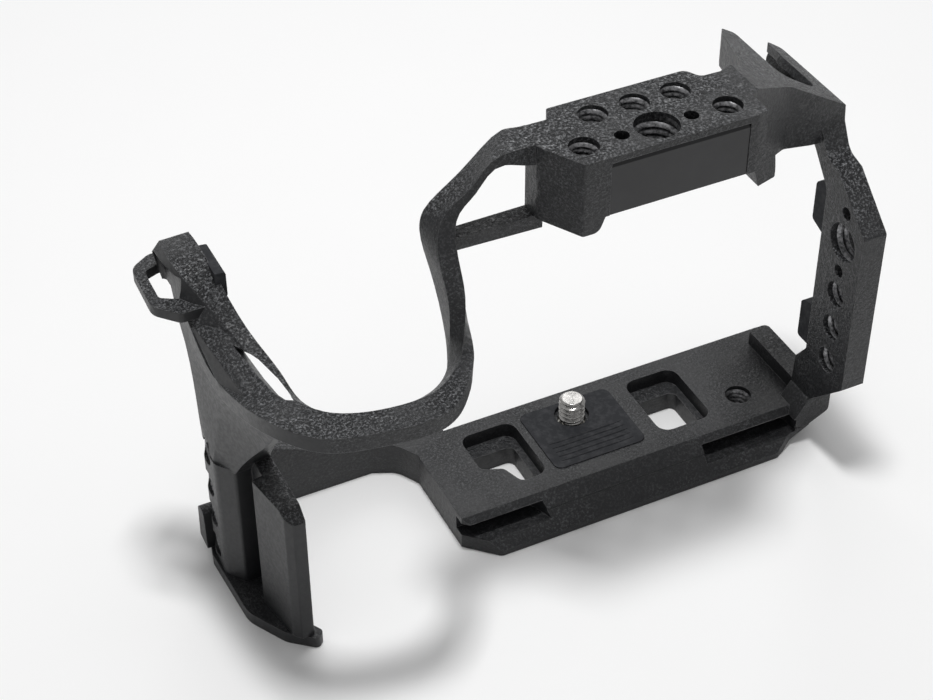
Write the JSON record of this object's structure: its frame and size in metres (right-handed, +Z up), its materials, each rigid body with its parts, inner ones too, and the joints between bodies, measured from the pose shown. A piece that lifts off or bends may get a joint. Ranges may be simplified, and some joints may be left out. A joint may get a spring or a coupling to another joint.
{
  "type": "camera cage",
  "caption": "Half cage for a mirrorless camera: drilled top bridge and side wall, finger bar round the grip, slanted cold shoe, dovetail base and captive camera screw.",
  "frame": {"origin": "camera screw's axis at the base plate's top face", "axes": "+X towards the port side (right seen from the front), +Y towards the camera's back, +Z up along the camera screw"},
  "size_m": [0.1553, 0.067, 0.1106],
  "materials": {
    "textured_black_metal": "black coated, fine sparkling texture",
    "smooth_black_plate": "smooth satin black",
    "rubber_pad": "matte, fine ribs",
    "screw_steel": "turned steel",
    "black_fastener": "black oxide",
    "spring_steel": "dull spring steel",
    "nylon_washer": "matte nylon"
  },
  "bodies": {
    "cage": {"upper_frame": "textured_black_metal", "base_plate": "textured_black_metal", "front_plate": "smooth_black_plate", "base_pad": "rubber_pad", "screw_retaining_ring": "spring_steel", "grip_joint_screws": "black_fastener", "port_joint_screw": "black_fastener", "upper_wall_pad": "rubber_pad", "lower_wall_pad": "rubber_pad", "shoulder_pad": "rubber_pad"},
    "screw_lift": {"screw_washer": "nylon_washer"},
    "screw": {"camera_screw": "screw_steel"}
  },
  "joints": [
    {"name": "screw_drop", "type": "slide", "parent": "cage", "child": "screw_lift", "axis": [0, 0, -1], "range_m": [0, 0.002]},
    {"name": "screw_turn", "type": "hinge", "parent": "screw_lift", "child": "screw", "pos_m": [0, 0, 0], "axis": [0, 0, 1], "continuous": true}
  ]
}
